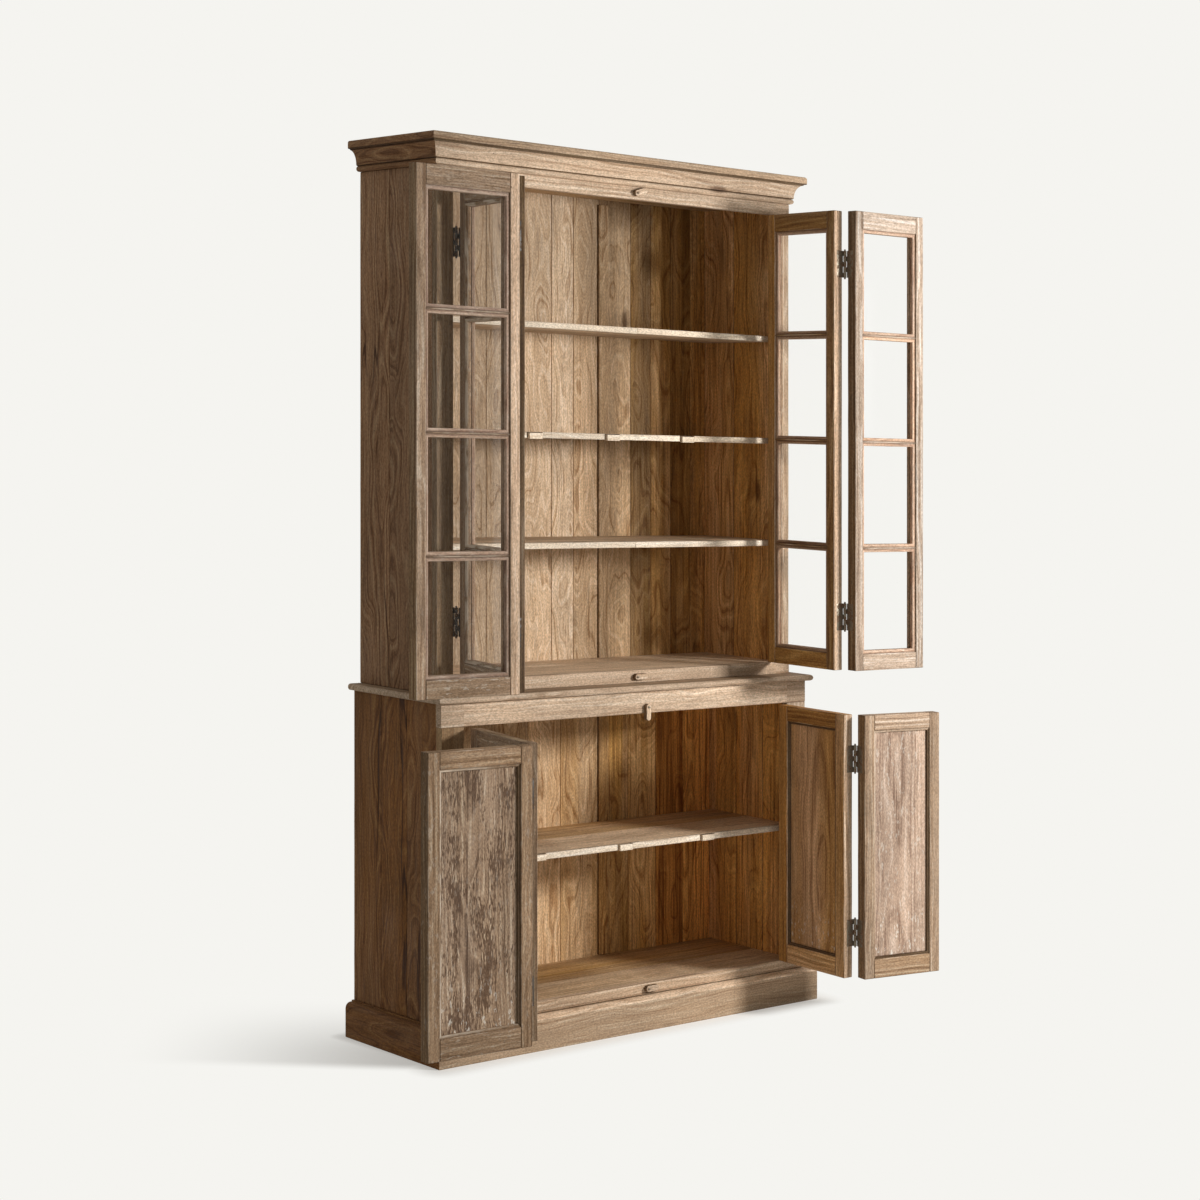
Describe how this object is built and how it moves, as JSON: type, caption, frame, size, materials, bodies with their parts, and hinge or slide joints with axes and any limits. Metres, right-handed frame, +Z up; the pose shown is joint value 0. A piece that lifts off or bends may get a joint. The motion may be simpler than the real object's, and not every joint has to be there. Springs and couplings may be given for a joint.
{
  "type": "glass display cabinet",
  "caption": "Tall two-part display cabinet: glazed upper case with folding glass doors on a panelled cupboard with folding panel doors, plank backs, shelves, moulded cornice and plinth.",
  "frame": {"origin": "on the floor, in the middle of the plinth's footprint", "axes": "+Z up, +X to the right seen from the front, +Y to the back; the doors face -Y"},
  "size_m": [1.8211, 0.7551, 2.4],
  "materials": {
    "carcass_wood": "bleached, dry reclaimed hardwood with nail holes",
    "shelf_wood": "dry grey-brown boards with pale front edges",
    "back_planks": "rough-sawn planks of mixed tint with knots",
    "door_wood": "weathered grey-tan wood with old paint in the corners",
    "panel_wood": "strongly streaked weathered wood",
    "button_wood": "hand-worn pale wood",
    "hinge_iron": "old blackened iron with rust",
    "door_glass": "clear old window glass"
  },
  "bodies": {
    "cabinet": {"plinth": "carcass_wood", "lower_bottom_board": "shelf_wood", "lower_shelf": "shelf_wood", "lower_side_left": "carcass_wood", "lower_side_right": "carcass_wood", "lower_stile_left": "carcass_wood", "lower_stile_right": "carcass_wood", "lower_back": "back_planks", "lower_bottom_rail": "carcass_wood", "lower_top_rail": "carcass_wood", "waist_board": "carcass_wood", "upper_bottom_board": "shelf_wood", "upper_top_board": "shelf_wood", "upper_shelf_1": "shelf_wood", "upper_shelf_2": "shelf_wood", "upper_shelf_3": "shelf_wood", "upper_side_left": "carcass_wood", "upper_side_right": "carcass_wood", "upper_stile_left": "carcass_wood", "upper_stile_right": "carcass_wood", "upper_back": "back_planks", "upper_bottom_rail": "carcass_wood", "upper_top_rail": "carcass_wood", "cornice": "carcass_wood"},
    "upper_left_inner": {"upper_left_inner_frame": "door_wood", "upper_left_inner_glass": "door_glass", "upper_left_inner_hinge_lower": "hinge_iron", "upper_left_inner_hinge_upper": "hinge_iron"},
    "upper_left_outer": {"upper_left_outer_frame": "door_wood", "upper_left_outer_glass": "door_glass", "upper_left_outer_hinge_lower": "hinge_iron", "upper_left_outer_hinge_upper": "hinge_iron"},
    "upper_right_inner": {"upper_right_inner_frame": "door_wood", "upper_right_inner_glass": "door_glass", "upper_right_inner_hinge_lower": "hinge_iron", "upper_right_inner_hinge_upper": "hinge_iron"},
    "upper_right_outer": {"upper_right_outer_frame": "door_wood", "upper_right_outer_glass": "door_glass", "upper_right_outer_hinge_lower": "hinge_iron", "upper_right_outer_hinge_upper": "hinge_iron"},
    "lower_left_inner": {"lower_left_inner_frame": "door_wood", "lower_left_inner_panel": "panel_wood", "lower_left_inner_hinge_lower": "hinge_iron", "lower_left_inner_hinge_upper": "hinge_iron"},
    "lower_left_outer": {"lower_left_outer_frame": "door_wood", "lower_left_outer_panel": "panel_wood", "lower_left_outer_hinge_lower": "hinge_iron", "lower_left_outer_hinge_upper": "hinge_iron"},
    "lower_right_inner": {"lower_right_inner_frame": "door_wood", "lower_right_inner_panel": "panel_wood", "lower_right_inner_hinge_lower": "hinge_iron", "lower_right_inner_hinge_upper": "hinge_iron"},
    "lower_right_outer": {"lower_right_outer_frame": "door_wood", "lower_right_outer_panel": "panel_wood", "lower_right_outer_hinge_lower": "hinge_iron", "lower_right_outer_hinge_upper": "hinge_iron"},
    "button_upper_top": {"button_upper_top": "button_wood"},
    "button_upper_bottom": {"button_upper_bottom": "button_wood"},
    "button_lower_top": {"button_lower_top": "button_wood"},
    "button_lower_bottom": {"button_lower_bottom": "button_wood"}
  },
  "joints": [
    {"name": "upper_left_inner_swing", "type": "hinge", "parent": "cabinet", "child": "upper_left_inner", "pos_m": [-0.588, -0.1452, 1.6335], "axis": [0, 0, 1], "range_deg": [-18, 102]},
    {"name": "upper_left_outer_fold", "type": "hinge", "parent": "upper_left_inner", "child": "upper_left_outer", "pos_m": [-0.65349, -0.45332, 1.6335], "axis": [0, 0, 1], "range_deg": [-80, 80]},
    {"name": "upper_right_inner_swing", "type": "hinge", "parent": "cabinet", "child": "upper_right_inner", "pos_m": [0.588, -0.1452, 1.6335], "axis": [0, 0, 1], "range_deg": [-89, 31]},
    {"name": "upper_right_outer_fold", "type": "hinge", "parent": "upper_right_inner", "child": "upper_right_outer", "pos_m": [0.58322, -0.41916, 1.6335], "axis": [0, 0, 1], "range_deg": [-88, 72]},
    {"name": "lower_left_inner_swing", "type": "hinge", "parent": "cabinet", "child": "lower_left_inner", "pos_m": [-0.588, -0.1912, 0.495], "axis": [0, 0, 1], "range_deg": [-18.5, 101.5]},
    {"name": "lower_left_outer_fold", "type": "hinge", "parent": "lower_left_inner", "child": "lower_left_outer", "pos_m": [-0.6508, -0.49988, 0.495], "axis": [0, 0, 1], "range_deg": [-79, 81]},
    {"name": "lower_right_inner_swing", "type": "hinge", "parent": "cabinet", "child": "lower_right_inner", "pos_m": [0.588, -0.1912, 0.495], "axis": [0, 0, 1], "range_deg": [-87.5, 32.5]},
    {"name": "lower_right_outer_fold", "type": "hinge", "parent": "lower_right_inner", "child": "lower_right_outer", "pos_m": [0.57605, -0.46494, 0.495], "axis": [0, 0, 1], "range_deg": [-83.5, 76.5]},
    {"name": "button_upper_top_turn", "type": "hinge", "parent": "cabinet", "child": "button_upper_top", "pos_m": [0.041, -0.1371, 2.301], "axis": [0, 1, 0], "range_deg": [0, 105]},
    {"name": "button_upper_bottom_turn", "type": "hinge", "parent": "cabinet", "child": "button_upper_bottom", "pos_m": [0.041, -0.1371, 0.9635], "axis": [0, 1, 0], "range_deg": [-90, 0]},
    {"name": "button_lower_top_turn", "type": "hinge", "parent": "cabinet", "child": "button_lower_top", "pos_m": [0.041, -0.1831, 0.885], "axis": [0, 1, 0], "range_deg": [-90, 90]},
    {"name": "button_lower_bottom_turn", "type": "hinge", "parent": "cabinet", "child": "button_lower_bottom", "pos_m": [0.041, -0.1831, 0.11], "axis": [0, 1, 0], "range_deg": [-90, 0]}
  ]
}
